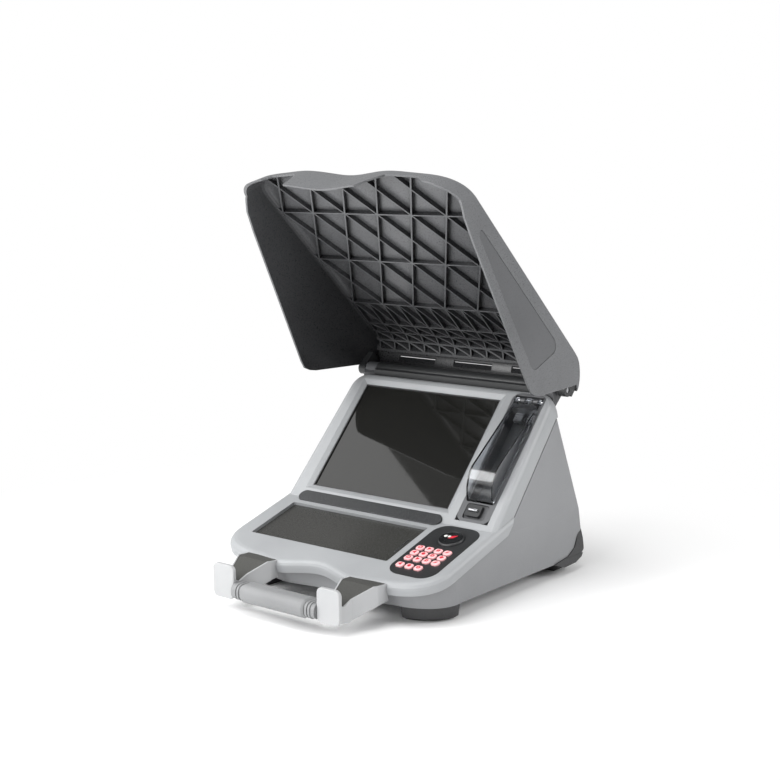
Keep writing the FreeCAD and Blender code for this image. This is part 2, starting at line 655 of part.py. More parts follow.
def clear_cover():
    """Smoked clear cover over the bay, with three knuckles that turn on the pin."""
    mid, half = size("bay_mid_x"), size("cover_width") / 2
    wall = size("cover_wall")

    def slab(wall_depth, low, x0, x1):
        face = Part.Face(cover_outline(wall_depth, low))
        face.translate(Vector(x0, 0, 0))
        return in_frame(face.extrude(Vector(x1 - x0, 0, 0)), ON_SCREEN)

    cover = slab(0.0, 0.4, mid - half, mid + half)
    cover = cover.cut(slab(wall, -3.0, mid - half + wall, mid + half - wall))
    for x0, x1 in COVER_KNUCKLES:
        arm = box(mid + max(x0, -half), mid + min(x1, half), HINGE_Y - 11, HINGE_Y, 0.4, 2.4, ON_SCREEN)
        stem = box(mid + x0, mid + x1, HINGE_Y - 3.6, HINGE_Y + 1.0, PIN_Z, 2.4, ON_SCREEN)
        cover = cover.fuse(bay_rod(3.6, x0, x1)).fuse(arm).fuse(stem)
    return one_solid(cover.cut(bay_rod(size("cover_pin_radius") + 0.05, -30, 30)))


def usb_sockets():
    """Two metal socket shells in the upper wall of the well, each round a tongue."""
    sockets = []
    for offset in (-11.0, 11.0):
        x = size("bay_mid_x") + offset
        can = box(x - 7.1, x + 7.1, 182, 195.8, -18.6, -11.6, ON_SCREEN)
        can = can.cut(box(x - 6.4, x + 6.4, 181, 194, -17.9, -12.3, ON_SCREEN))
        tongue = box(x - 5.6, x + 5.6, 184, 194.5, -15.6, -14.0, ON_SCREEN)
        sockets.append(can.fuse(tongue))
    return Part.makeCompound(sockets)


def bay_latch():
    """Sliding catch below the cover, with a thumb ridge and a lip in front of the cover's edge."""
    mid = size("bay_mid_x") - 3.5
    plate_part = rounded_slab(mid - 12, mid + 12, 18, 36, -3.7, 1.6, 3, ON_SCREEN)
    ridge = rounded_slab(mid - 9, mid + 9, 24, 28, 1.0, 3.6, 1.5, ON_SCREEN)
    return one_solid(plate_part.fuse(ridge))


feature("bay_liner", bay_liner())
feature("bay_cover_pin", bay_rod(size("cover_pin_radius"), -25.5, 25.5))
feature("bay_cover", clear_cover())
feature("usb_sockets", usb_sockets())
feature("bay_latch", bay_latch())


# ---------------------------------------------------------------- lid hinge on the housing

def hinge_round(radius, x0, x1):
    return tube_x(radius, x0, x1, HINGE)


def hinge_bracket():
    """Arm behind the bezel that carries the hinge rod on the right-hand side."""
    back = HINGE.y - size("hinge_back") + size("back_top") + 3.0
    web = side_profile([(back, 242), (back, 268), (HINGE.y, 283), (HINGE.y + 11, 272), (HINGE.y + 8, 262)],
                       151, 172)
    arm = web.fuse(hinge_round(11.0, 151, 172))
    return one_solid(arm.cut(bezel_block(0.0)).cut(hinge_round(size("hinge_radius"), 0, FAR)))


def hinge_cover():
    """Dark half-round cover over the rod, between the two brackets."""
    back = HINGE.y - size("hinge_back") + size("back_top") + 3.0
    skirt = side_profile([(back, 246), (back, 274), (HINGE.y, 283.5), (HINGE.y + 6, 262)], -150.6, 150.6)
    hood = skirt.fuse(hinge_round(12.0, -150.6, 150.6))
    return one_solid(hood.cut(hinge_round(8.5, -FAR, FAR)).cut(bezel_block(0.0)))


right_bracket = hinge_bracket()
feature("hinge_bracket_right", right_bracket)
feature("hinge_bracket_left", mirrored(right_bracket))
feature("hinge_cover", hinge_cover())
ROD_END = size("knuckle_start") + 12.0
feature("hinge_rod", hinge_round(size("hinge_radius"), -ROD_END, ROD_END))


# ---------------------------------------------------------------- lid

ROOF = size("roof_rise")
DRAFT = size("lid_draft")
RIM = [(20.0, 17.0), (19.0, 12.0), (12.9, 18.5), (-74.0, -60.2), (-84.0, -67.0), (-95.0, -71.0), (-108.0, -68.1),
       (-338.0, 8.8), (-362.0, 2.0), (-520.0, 2.0)]


def lid_loft(shrink):
    """Rounded roof with walls that flare out, more at the front than at the sides; open-ended below."""
    radius = size("roof_radius") - shrink
    top = ROOF - shrink

    def outline(inset, z):
        down = ROOF - z
        half = size("lid_half_width") + DRAFT * down - shrink - inset
        front = -size("lid_front") - size("lid_front_slope") * down + shrink + inset
        return bowed_outline(half, front, 9, 50, 60, 10, z)

    sections = []
    for step in range(5):
        turn = math.pi / 2 * step / 4
        sections.append(outline(radius * (1 - math.sin(turn)), top + radius * (math.cos(turn) - 1)))
    sections.append(outline(0.0, -130.0))
    return Part.makeLoft(sections, True, True)


def rear_arc(radius):
    """The roof's rounded rear, seen from the side: from the roof line round to the rear wall."""
    start = Vector(0, -26.0, 17.0 + radius)
    middle = Vector(0, -26.0 + radius * math.sqrt(0.5), 17.0 + radius * math.sqrt(0.5))
    end = Vector(0, -26.0 + radius, 17.0)
    return start, middle, end


def lid_slab(radius, below):
    """Side outline of the lid as a wide slab: the rounded rear above, then the points given below it."""
    start, middle, end = rear_arc(radius)
    corners = [end] + [Vector(0, y, z) for y, z in below] + [Vector(0, -520.0, start.z), start]
    edges = [Part.Arc(start, middle, end).toShape()]
    edges += [Part.makeLine(a, b) for a, b in zip(corners, corners[1:])]
    face = Part.Face(Part.Wire(edges))
    face.translate(Vector(-FAR, 0, 0))
    return face.extrude(Vector(2 * FAR, 0, 0))


def lid_inside(radius, shrink):
    """Room inside the lid, down to its open side."""
    below = [(-26.0 + radius, -160.0), (-520.0, -160.0)]
    return lid_loft(shrink).common(lid_slab(radius, below))


def rib_cells():
    """Openings of the rib grid: lozenges and triangles under the roof, small squares round the rear."""
    half = size("rib_thickness") / 2
    pitch_x, pitch_y = size("rib_pitch_x"), size("rib_pitch_y")
    first = size("rib_first_y")
    slope = math.hypot(pitch_x / 2, pitch_y / 2)
    lean = half * slope / (pitch_x / 2)
    reach = half * slope / (pitch_y / 2)
    cells = []
    for row in range(3):
        top, bottom = first - row * pitch_y, first - (row + 1) * pitch_y
        mid = (top + bottom) / 2
        for column in range(-4, 4):
            x = column * pitch_x
            flat = pitch_x / 2 - reach - half * pitch_x / pitch_y
            cells.append([(x, top - lean), (x + pitch_x / 2 - reach, mid), (x, bottom + lean),
                          (x - pitch_x / 2 + reach, mid)])
            centre = x + pitch_x / 2
            cells.append([(centre - flat, top - half), (centre + flat, top - half), (centre, mid + lean)])
            cells.append([(centre - flat, bottom + half), (centre + flat, bottom + half), (centre, mid - lean)])
    rows = [(-99.0, -47.0), (-47.0, -26.0), (-26.0, -9.5), (-9.5, 3.0)]
    for low, high in rows:
        low, high = low + half, high - half
        for column in range(-7, 7):
            x0, x1 = column * pitch_x / 2 + half, (column + 1) * pitch_x / 2 - half
            web = 0.75 * half * math.hypot(x1 - x0, high - low)
            side_x, side_y = web / (high - low), web / (x1 - x0)
            cells.append([(x0 + side_x, low), (x1, low), (x1, high - side_y)])
            cells.append([(x0, low + side_y), (x1 - side_x, high), (x0, high)])
    return Part.makeCompound([flat_profile(cell, -20, 100) for cell in cells])


def front_cut_up():
    """What is taken off the rim at the front, on either side of the middle lip and up to the side walls."""
    outline = [(60, -100), (60, 0), (66, 20), (76, 40), (125, 43), (137, 33), (165, 28), (230, 28), (230, -100)]
    corners = [Vector(x, -520, z) for x, z in outline]
    front = Part.Face(Part.makePolygon(corners + corners[:1])).extrude(Vector(0, 150, 0))
    side = side_profile([(-322, 3.4), (-352, 15), (-371, 28.2), (-371, -100), (-322, -100)], 110, 240)
    right = front.fuse(side)
    return [right, mirrored(right)]


def wall_frame():
    """Frame on the right-hand outer wall of the lid: local x runs down the wall, local z out of it."""
    lean = math.degrees(math.atan(DRAFT))
    return Placement(Vector(size("lid_half_width"), 0, ROOF), Rotation(Y_AXIS, 90 - lean))


def label_slab(inset, z0, z1):
    """Rounded triangle of the side label, on the right-hand wall."""
    along = math.hypot(1, DRAFT)
    corners = [Vector((ROOF - z) * along, y, z0) for y, z in [(-352, 30), (-56, 33), (-106, -44)]]
    wire = rounded_wire(corners, [7, 12, 16])
    if inset:
        wire = wire.makeOffset2D(-inset)
    return in_frame(Part.Face(wire).extrude(Vector(0, 0, z1 - z0)), wall_frame())


def lid_shell():
    """Deep lid with its rib grid in one piece."""
    lid = lid_loft(0.0).common(lid_slab(46.2, RIM))
    lid = one_solid(lid.cut(lid_inside(36.5, size("lid_wall"))))
    room = lid_inside(43.0, size("lid_wall"))
    lid = lid.cut(rib_cells().common(room))
    lid = lid.cut(room.common(box(-FAR, FAR, 4.2, 60, -100, 100)))
    lid = lid.cut(room.common(box(-FAR, FAR, -520, 60, -100, 30)))
    for x in (-105, 0, 105):
        lid = lid.cut(rounded_slab(x - 35, x + 35, 4, 15.4, 27, 38, 0.8))
    for piece in front_cut_up():
        lid = lid.cut(piece)
    recess = label_slab(0.0, -1.0, 6.0)
    lid = lid.cut(recess).cut(mirrored(recess))
    return one_solid(lid)


def lid_knuckle(lid):
    """Dark hinge arm inside the lid's wall on the right-hand side, with its outer end flush with the wall."""
    start = size("knuckle_start")
    ring = Part.makeCylinder(size("knuckle_radius"), 13, Vector(start, 0, 0), X_AXIS)
    arm = box(start + 1, start + 12, -8, 16, 0, 26)
    joined = ring.fuse(arm).cut(lid)
    joined = joined.cut(Part.makeCylinder(size("hinge_radius") + 0.05, 60, Vector(160, 0, 0), X_AXIS))
    return one_solid(joined)


lid = lid_shell()
knuckle = lid_knuckle(lid)
label = label_slab(0.4, -1.0, -0.3)
feature("lid_shell", lid, ON_LID)
feature("lid_knuckle_right", knuckle, ON_LID)
feature("lid_knuckle_left", mirrored(knuckle), ON_LID)
feature("lid_label_right", label, ON_LID)
feature("lid_label_left", mirrored(label), ON_LID)


# ---------------------------------------------------------------- handle and cable wrap

ARM_SIDE = [(-140, 56), (-170, 58), (-216, 40), (-221, 43), (-224, 43), (-226, 20), (-205, 17), (-165, 32), (-130, 36)]
ARM_PLAN = [(74, -232), (108, -232), (108, -200), (123, -166), (123, -120), (63, -120), (63, -166), (74, -200)]
PAD_SIDE = [(-150, 57.3), (-170, 57.3), (-216, 39.3), (-216, 36.3), (-170, 54.3), (-150, 54.3)]


def plan_prism(points, margin_x=0.0):
    """Solid from a plan outline on the right-hand side; a margin draws its two long sides in."""
    inner = (size("plate_inner") + size("plate_outer")) / 2
    moved = [(x + margin_x if x < inner else x - margin_x, CREASE_Y + y) for x, y in points]
    return flat_profile(moved, 0, 80)


def wrap_pad():
    """Rubber pad in the trough on top of a handle arm."""
    strip = side_profile(PAD_SIDE, 40, 140, CREASE_Y).common(plan_prism(ARM_PLAN, 2.6))
    return one_solid(strip.cut(bezel_block(-0.2)).cut(shell_block(0.2)))


def handle_arm():
    """Arm that springs from the housing's front, with the upright plate that keeps a wound cable in."""
    arm = side_profile(ARM_SIDE, 40, 140, CREASE_Y).common(plan_prism(ARM_PLAN))
    front = CREASE_Y - size("handle_front")
    low, high = size("plate_low"), size("plate_high")
    upright = box(size("plate_inner"), size("plate_outer"), front, front + size("plate_thickness"), low, high)
    edges = [edge for edge in upright.Edges if abs(edge.tangentAt(edge.FirstParameter).y) > 0.99]
    upright = upright.makeFillet(8.0, edges)
    upright = upright.makeFillet(1.4, [edge for edge in upright.Edges if abs(edge.CenterOfMass.y - front) < 1e-3])
    trough = [(-120, 57.8), (-170, 57.8), (-216, 39.8), (-216, 36.3), (-170, 54.3), (-120, 54.3)]
    trough = [(y, z) for y, z in trough[3:]] + [(-120, 90), (-170, 90), (-216, 70)]
    arm = arm.cut(side_profile(trough, 40, 140, CREASE_Y).common(plan_prism(ARM_PLAN, 2.2)))
    joined = arm.fuse(upright)
    return one_solid(joined.cut(shell_block(0.0)).cut(bezel_block(0.0)))


def grip_section(x, depth, height, corner):
    """Rounded cross-section of the grip at x."""
    mid_y, mid_z = CREASE_Y - size("handle_front") + 8.0, size("grip_z")
    corners = [Vector(x, mid_y + sy * depth / 2, mid_z + sz * height / 2)
               for sy, sz in ((-1, -1), (1, -1), (1, 1), (-1, 1))]
    return rounded_wire(corners, [corner] * 4)


def handle_grip():
    """Hand grip between the two plates: a thick sleeve with a grooved collar at either end."""
    half = size("plate_inner")
    sleeve = size("grip_length") / 2
    grip_depth, grip_height = size("grip_depth"), size("grip_height")
    grip = Part.Face(grip_section(-half, 26, 20, 8)).extrude(Vector(2 * half, 0, 0))
    body = [grip_section(-sleeve, grip_depth - 4, grip_height - 4, 9),
            grip_section(-sleeve + 3, grip_depth, grip_height, 11),
            grip_section(sleeve - 3, grip_depth, grip_height, 11),
            grip_section(sleeve, grip_depth - 4, grip_height - 4, 9)]
    grip = grip.fuse(Part.makeLoft(body, True, True))
    for x in (sleeve + 2.5, sleeve + 7.5):
        for start in (-x - 3, x):
            ring = Part.Face(grip_section(start, grip_depth - 3, grip_height - 3, 9.5)).extrude(Vector(3, 0, 0))
            grip = grip.fuse(ring)
    return one_solid(grip)


right_arm = handle_arm()
right_pad = wrap_pad()
feature("handle_arm_right", right_arm)
feature("handle_arm_left", mirrored(right_arm))
feature("wrap_pad_right", right_pad)
feature("wrap_pad_left", mirrored(right_pad))
feature("handle_grip", handle_grip())


# ---------------------------------------------------------------- rear fittings and what is inside

def on_back(x, y, z=0.0):
    return shifted(ON_BACK, x, y, z)


def screws(places, head_radius, head_height, shank, frame):
    """A set of pan-head screws with a hex socket, each its own solid, pointing into the wall."""
    made = []
    socket = Part.Face(Part.makePolygon([Vector(0.4 * head_radius * math.cos(k * math.pi / 3),
                                                0.4 * head_radius * math.sin(k * math.pi / 3), 0.4)
                                         for k in range(7)])).extrude(Vector(0, 0, 10))
    for x, y in places:
        head = Part.makeCylinder(head_radius, head_height)
        head = head.makeFillet(0.45 * head_height, [edge for edge in head.Edges if abs(edge.CenterOfMass.z
                                                    - head_height) < 1e-6 and edge.isClosed()])
        head = head.cut(socket)
        stem = Part.makeCylinder(0.42 * head_radius, shank, Vector(0, 0, -shank))
        made.append(in_frame(head.fuse(stem), shifted(frame, x, y)))
    return Part.makeCompound(made)


COVER_X, COVER_Y = size("cover_mid_x"), size("cover_mid_y")
COVER_W, COVER_H = size("rear_cover_width"), size("rear_cover_height")
COVER_SCREWS = [(COVER_X + sx * (COVER_W / 2 - 8), COVER_Y + sy * (COVER_H / 2 - 8))
                for sx in (-1, 1) for sy in (-1, 1)]
SOCKETS_X = size("sockets_mid_x")
BASE_SCREWS = [(sx * 95.0, y) for sx in (-1, 1) for y in (20.0, -200.0)]
UNDERSIDE = Placement(Vector(0, CREASE_Y, size("underside_z")), Rotation(X_AXIS, 180))


def rear_cover():
    cover = rounded_slab(COVER_X - COVER_W / 2, COVER_X + COVER_W / 2, COVER_Y - COVER_H / 2,
                         COVER_Y + COVER_H / 2, 0, 3, 9)
    rim = [edge for edge in cover.Edges if all(abs(v.Z - 3) < 1e-6 for v in edge.Vertexes)]
    cover = cover.makeFillet(1.2, rim)
    for x, y in COVER_SCREWS:
        cover = cover.cut(Part.makeCylinder(1.9, 10, Vector(x, y, -4)))
    for index in range(5):
        y = COVER_Y - 24.0 + 12.0 * index
        groove = rounded_slab(COVER_X - 50, COVER_X + 50, y - 2, y + 2, 2.0, 6, 1.9)
        cover = cover.cut(groove)
    return cover


def connector_plate():
    """Plate with the two sockets, on the back to the right of the cover."""
    base = rounded_slab(SOCKETS_X - 31, SOCKETS_X + 31, COVER_Y - 41, COVER_Y + 41, 0, 2.5, 6)
    base = base.cut(Part.makeCylinder(15.0, 20, Vector(SOCKETS_X, COVER_Y - 14, -5)))
    return base.cut(Part.makeCylinder(6.0, 20, Vector(SOCKETS_X, COVER_Y + 24, -5)))


def ring_socket(radius, bore, height, depth, pins, pin_circle):
    """Round panel socket: a barrel through the plate with an outer collar, a floor and contact pins."""
    socket = Part.makeCylinder(radius - 2.2, height + depth, Vector(0, 0, -depth))
    collar = Part.makeCylinder(radius, 3.0, Vector(0, 0, 2.5))
    socket = socket.fuse(collar).cut(Part.makeCylinder(bore, height + 20, Vector(0, 0, -depth + 3)))
    for index in range(pins):
        turn = 2 * math.pi * index / max(pins, 1)
        pin = Part.makeCylinder(0.9, depth, Vector(pin_circle * math.cos(turn), pin_circle * math.sin(turn),
                                                   -depth + 2))
        socket = socket.fuse(pin)
    return one_solid(socket)


feature("rear_cover", rear_cover(), ON_BACK)
feature("rear_cover_screws", screws(COVER_SCREWS, 3.6, 2.2, 6, shifted(ON_BACK, z=3)))
feature("connector_plate", connector_plate(), ON_BACK)
feature("camera_socket", ring_socket(17.0, 12.2, 9.0, 12.0, 6, 7.5), on_back(SOCKETS_X, COVER_Y - 14))
feature("power_inlet", ring_socket(8.0, 4.2, 5.0, 10.0, 1, 0.0), on_back(SOCKETS_X, COVER_Y + 24))
feature("base_screws", screws(BASE_SCREWS, 4.5, 2.6, 8, UNDERSIDE))


def main_board():
    """Circuit board on the four posts, with its tallest parts."""
    low = size("underside_z") + 12
    board = box(-92, 92, CREASE_Y - 52, CREASE_Y + 102, low, low + 1.6)
    chips = [(-60, 20, 34, 34, 2.2), (0, -10, 24, 24, 1.6), (30, 60, 40, 22, 9.0), (-70, 78, 18, 18, 12.0),
             (66, 10, 16, 40, 7.0), (60, -36, 30, 12, 5.5)]
    for x, y, width, height, tall in chips:
        chip = box(x - width / 2, x + width / 2, CREASE_Y + y - height / 2, CREASE_Y + y + height / 2,
                   low + 1.2, low + 1.6 + tall)
        board = board.fuse(chip)
    return one_solid(board)


feature("main_board", main_board())
plate("battery_pack", "140", "84", "6", "38", on_back(COVER_X, COVER_Y, -44), 3.0)


def speaker():
    basket = Part.makeCylinder(22, 4).fuse(Part.makeCone(20, 12, 10, Vector(0, 0, -10)))
    magnet = Part.makeCylinder(13, 8, Vector(0, 0, -18))
    bowl = Part.makeCone(8, 17, 8, Vector(0, 0, -3.9))
    return basket.fuse(magnet).cut(bowl)


feature("speaker", speaker(), on_back(0.0, 31, -8.0))


# ---------------------------------------------------------------- checks and files

doc.recompute()
os.makedirs("parts", exist_ok=True)
for item in doc.Objects:
    if "Invalid" in item.State or "Error" in item.State:
        raise RuntimeError(f"{item.Name} did not rebuild: {item.State}")
for item in parts:
    if item.Shape.isNull() or not item.Shape.isValid():
        raise RuntimeError(f"{item.Label} has no sound shape")
for item in parts:
    item.Shape.exportStep(f"parts/{item.Label}.step")
print(len(parts), "sub-parts written")
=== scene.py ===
# %% [markdown]
# # Field monitor of a pipe inspection camera
# The object is a wedge-shaped plastic housing with a sloped screen, a keypad, a clear cover over a bay
# for memory sticks, a carrying handle and a deep ribbed lid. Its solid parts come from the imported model,
# which is the frame here: it already holds every part in its true place, in metres, so nothing is fitted
# by eye.

# %% Load the frame
import bpy
import math
from mathutils import Matrix, Vector


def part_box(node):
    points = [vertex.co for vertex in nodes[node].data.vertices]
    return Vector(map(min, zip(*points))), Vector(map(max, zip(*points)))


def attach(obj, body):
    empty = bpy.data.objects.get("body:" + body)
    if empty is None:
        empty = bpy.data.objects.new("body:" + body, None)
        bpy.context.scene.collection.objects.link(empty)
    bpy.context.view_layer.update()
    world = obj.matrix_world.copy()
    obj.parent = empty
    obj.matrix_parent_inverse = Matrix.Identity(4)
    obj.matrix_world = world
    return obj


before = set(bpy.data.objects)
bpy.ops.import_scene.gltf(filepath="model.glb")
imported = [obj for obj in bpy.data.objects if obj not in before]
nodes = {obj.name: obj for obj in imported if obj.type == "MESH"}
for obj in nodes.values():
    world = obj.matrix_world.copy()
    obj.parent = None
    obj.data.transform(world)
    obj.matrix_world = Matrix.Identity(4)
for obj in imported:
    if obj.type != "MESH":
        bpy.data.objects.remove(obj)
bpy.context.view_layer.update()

# %% [markdown]
# ## Camera
# A long lens from a few steps away shows a product without strong perspective. The camera is set by the
# angles at which one would walk round the object: azimuth, elevation and distance, all about one target
# point, in metres.

# %% Camera
TARGET = Vector((0.0, 0.0110, 0.2751))
AZIMUTH, ELEVATION, ROLL = math.radians(38.7), math.radians(9.0), math.radians(-0.2)
DISTANCE = 1.9717
outwards = Vector((math.sin(AZIMUTH) * math.cos(ELEVATION), -math.cos(AZIMUTH) * math.cos(ELEVATION),
                   math.sin(ELEVATION)))
camera_data = bpy.data.cameras.new("camera")
camera_data.lens = 65.35
camera_data.sensor_width = 36.0
camera_data.clip_end = 50.0
camera = bpy.data.objects.new("camera", camera_data)
bpy.context.scene.collection.objects.link(camera)
camera.location = TARGET + outwards * DISTANCE
camera.rotation_euler = ((-outwards).to_track_quat("-Z", "Y").to_matrix()
                         @ Matrix.Rotation(ROLL, 3, "Z")).to_euler()
bpy.context.scene.camera = camera
bpy.context.scene.view_settings.view_transform = "Standard"
print("camera at", [round(value, 3) for value in camera.location])

# %% [markdown]
# ## Floor and light
# The floor and the surroundings fade to white, as in a product studio. The sky that lights the object is
# dimmer than the white that the camera sees behind it, so the inside of the lid can fall into shadow.
# Four soft lights shape the object: the key light at the front left, a top light, a side light at the
# back right that keeps the side wall readable, and a low one at the front that reaches the ribs under the
# lid.

# %% Floor
FLOOR_SIZE = 40.0
FLOOR_DROP = 0.0005
FADE_START, FADE_END = 0.34, 0.90
bpy.ops.object.select_all(action="DESELECT")
bpy.ops.mesh.primitive_plane_add(size=FLOOR_SIZE, location=(0, 0, -FLOOR_DROP))
floor = bpy.context.object
floor.name = "floor"
floor_material = bpy.data.materials.new("pale_floor")
floor_material.use_nodes = True
floor_tree = floor_material.node_tree
floor_shader = floor_tree.nodes["Principled BSDF"]
floor_shader.inputs["Base Color"].default_value = (0.95, 0.95, 0.95, 1)
floor_shader.inputs["Roughness"].default_value = 0.9
far_white = floor_tree.nodes.new("ShaderNodeEmission")
far_white.inputs["Color"].default_value = (1.0, 1.0, 1.0, 1)
floor_place = floor_tree.nodes.new("ShaderNodeTexCoord")
from_middle = floor_tree.nodes.new("ShaderNodeVectorMath")
from_middle.operation = "LENGTH"
floor_tree.links.new(floor_place.outputs["Object"], from_middle.inputs[0])
fade = floor_tree.nodes.new("ShaderNodeMapRange")
fade.interpolation_type = "SMOOTHSTEP"
fade.inputs["From Min"].default_value = FADE_START
fade.inputs["From Max"].default_value = FADE_END
floor_tree.links.new(from_middle.outputs["Value"], fade.inputs["Value"])
floor_ray = floor_tree.nodes.new("ShaderNodeLightPath")
fade_seen = floor_tree.nodes.new("ShaderNodeMath")
fade_seen.operation = "MULTIPLY"
floor_tree.links.new(fade.outputs["Result"], fade_seen.inputs[0])
floor_tree.links.new(floor_ray.outputs["Is Camera Ray"], fade_seen.inputs[1])
floor_mix = floor_tree.nodes.new("ShaderNodeMixShader")
floor_tree.links.new(fade_seen.outputs[0], floor_mix.inputs[0])
floor_tree.links.new(floor_shader.outputs[0], floor_mix.inputs[1])
floor_tree.links.new(far_white.outputs[0], floor_mix.inputs[2])
floor_tree.links.new(floor_mix.outputs[0], floor_tree.nodes["Material Output"].inputs["Surface"])
floor.data.materials.append(floor_material)
print("floor fades to white from", FADE_START, "to", FADE_END, "m")

# %% Sky and lights
SKY_STRENGTH, BACKDROP_STRENGTH = 0.30, 1.0
world = bpy.data.worlds.new("white_sky")
bpy.context.scene.world = world
world.use_nodes = True
sky_tree = world.node_tree
sky = sky_tree.nodes["Background"]
sky.inputs["Color"].default_value = (1.0, 1.0, 1.0, 1)
sky.inputs["Strength"].default_value = SKY_STRENGTH
backdrop = sky_tree.nodes.new("ShaderNodeBackground")
backdrop.inputs["Color"].default_value = (1.0, 1.0, 1.0, 1)
backdrop.inputs["Strength"].default_value = BACKDROP_STRENGTH
seen_by = sky_tree.nodes.new("ShaderNodeLightPath")
choice = sky_tree.nodes.new("ShaderNodeMixShader")
sky_tree.links.new(seen_by.outputs["Is Camera Ray"], choice.inputs[0])
sky_tree.links.new(sky.outputs[0], choice.inputs[1])
sky_tree.links.new(backdrop.outputs[0], choice.inputs[2])
sky_tree.links.new(choice.outputs[0], sky_tree.nodes["World Output"].inputs["Surface"])


def soft_light(name, place, towards, width, height, power):
    """A rectangular soft light that faces a point."""
    data = bpy.data.lights.new(name, "AREA")
    data.shape = "RECTANGLE"
    data.size, data.size_y = width, height
    data.energy = power
    light = bpy.data.objects.new(name, data)
    bpy.context.scene.collection.objects.link(light)
    light.location = place
    light.rotation_euler = (Vector(towards) - Vector(place)).to_track_quat("-Z", "Y").to_euler()
    return light


soft_light("key_light", (-1.5, -2.2, 1.9), (0, 0, 0.3), 1.5, 1.5, 46)
soft_light("low_front_light", (0.25, -2.3, 0.55), (0.0, 0.1, 0.45), 0.9, 0.7, 16)
soft_light("top_light", (0.2, -0.9, 2.8), (0, 0, 0.2), 1.8, 1.2, 40)
soft_light("side_light", (2.4, 1.1, 1.5), (0.15, 0.05, 0.25), 1.2, 1.4, 44)

# %% [markdown]
# ### The reflection in the screen
# Glass shows what stands opposite it. A light card reflects in the screen as a pale patch with a straight
# edge. To put that edge on a chosen line, the camera's rays are mirrored at the line's two ends, and the
# card's edge is laid through the mirrored rays a fixed distance away.

# %% Light card for the screen
glass_low, glass_high = (Vector(corner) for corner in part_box("display_glass"))
SCREEN_TILT = math.radians(46.9)
screen_up = Vector((0, math.cos(SCREEN_TILT), math.sin(SCREEN_TILT)))
screen_out = Vector((0, -math.sin(SCREEN_TILT), math.cos(SCREEN_TILT)))
glass_middle = (glass_low + glass_high) / 2


def mirrored_place(across, along, reach):
    """Where a camera ray ends up after it meets the glass at a point given from the glass's middle."""
    point = glass_middle + Vector((across, 0, 0)) + screen_up * along
    ray = (point - camera.location).normalized()
    ray = ray - 2 * ray.dot(screen_out) * screen_out
    return point + ray * reach


CARD_REACH = 1.3
CARD_LENGTH, CARD_WIDTH, CARD_POWER = 3.2, 0.9, 15
edge_start = mirrored_place(-0.112, 0.045, CARD_REACH)
edge_end = mirrored_place(0.105, -0.098, CARD_REACH)
inside = mirrored_place(-0.100, -0.080, CARD_REACH)
along_edge = (edge_end - edge_start).normalized()
away = inside - edge_start
away = (away - away.dot(along_edge) * along_edge).normalized()
card_data = bpy.data.lights.new("screen_card", "AREA")
card_data.shape = "RECTANGLE"
card_data.size, card_data.size_y = CARD_LENGTH, CARD_WIDTH
card_data.energy = CARD_POWER
card = bpy.data.objects.new("screen_card", card_data)
bpy.context.scene.collection.objects.link(card)
facing = along_edge.cross(away)
if facing.dot(edge_start - glass_middle) < 0:
    facing, along_edge = -facing, -along_edge
card.matrix_world = Matrix.Translation((edge_start + edge_end) / 2 + away * CARD_WIDTH / 2) @ Matrix(
    (along_edge, away, facing)).transposed().to_4x4()
print("card at", [round(value, 2) for value in card.location])

# %% [markdown]
# ## Finishes
# Nearly every part is moulded plastic. What makes plastic look real is small: a fine spark-eroded grain,
# faint clouds in its colour, edges that are a little rounded and rubbed paler by use. On top of these, the
# colour is darkened toward near-black in recesses found by ambient occlusion. That is painted shade, and it
# is strongest inside the lid. All of that is one node group, built once, which each material uses with its
# own values. The group gives out a colour, a roughness and a normal, and the shader itself stays in each
# material.

# %% Node helpers


def add_group_socket(group, name, kind, direction, value=None):
    socket = group.interface.new_socket(name=name, in_out=direction, socket_type=kind)
    if value is not None:
        socket.default_value = value
    return socket


def wire(tree, source, output, target, socket):
    tree.links.new(source.outputs[output], target.inputs[socket])


def math_node(tree, operation, value=None):
    node = tree.nodes.new("ShaderNodeMath")
    node.operation = operation
    if value is not None:
        node.inputs[1].default_value = value
    return node


def range_node(tree, low, high, to_low, to_high):
    node = tree.nodes.new("ShaderNodeMapRange")
    for socket, value in (("From Min", low), ("From Max", high), ("To Min", to_low), ("To Max", to_high)):
        node.inputs[socket].default_value = value
    return node


def noise_node(tree, scale, detail=3.0):
    node = tree.nodes.new("ShaderNodeTexNoise")
    node.inputs["Scale"].default_value = scale
    node.inputs["Detail"].default_value = detail
    return node


def mix_colour(tree):
    node = tree.nodes.new("ShaderNodeMix")
    node.data_type = "RGBA"
    return node


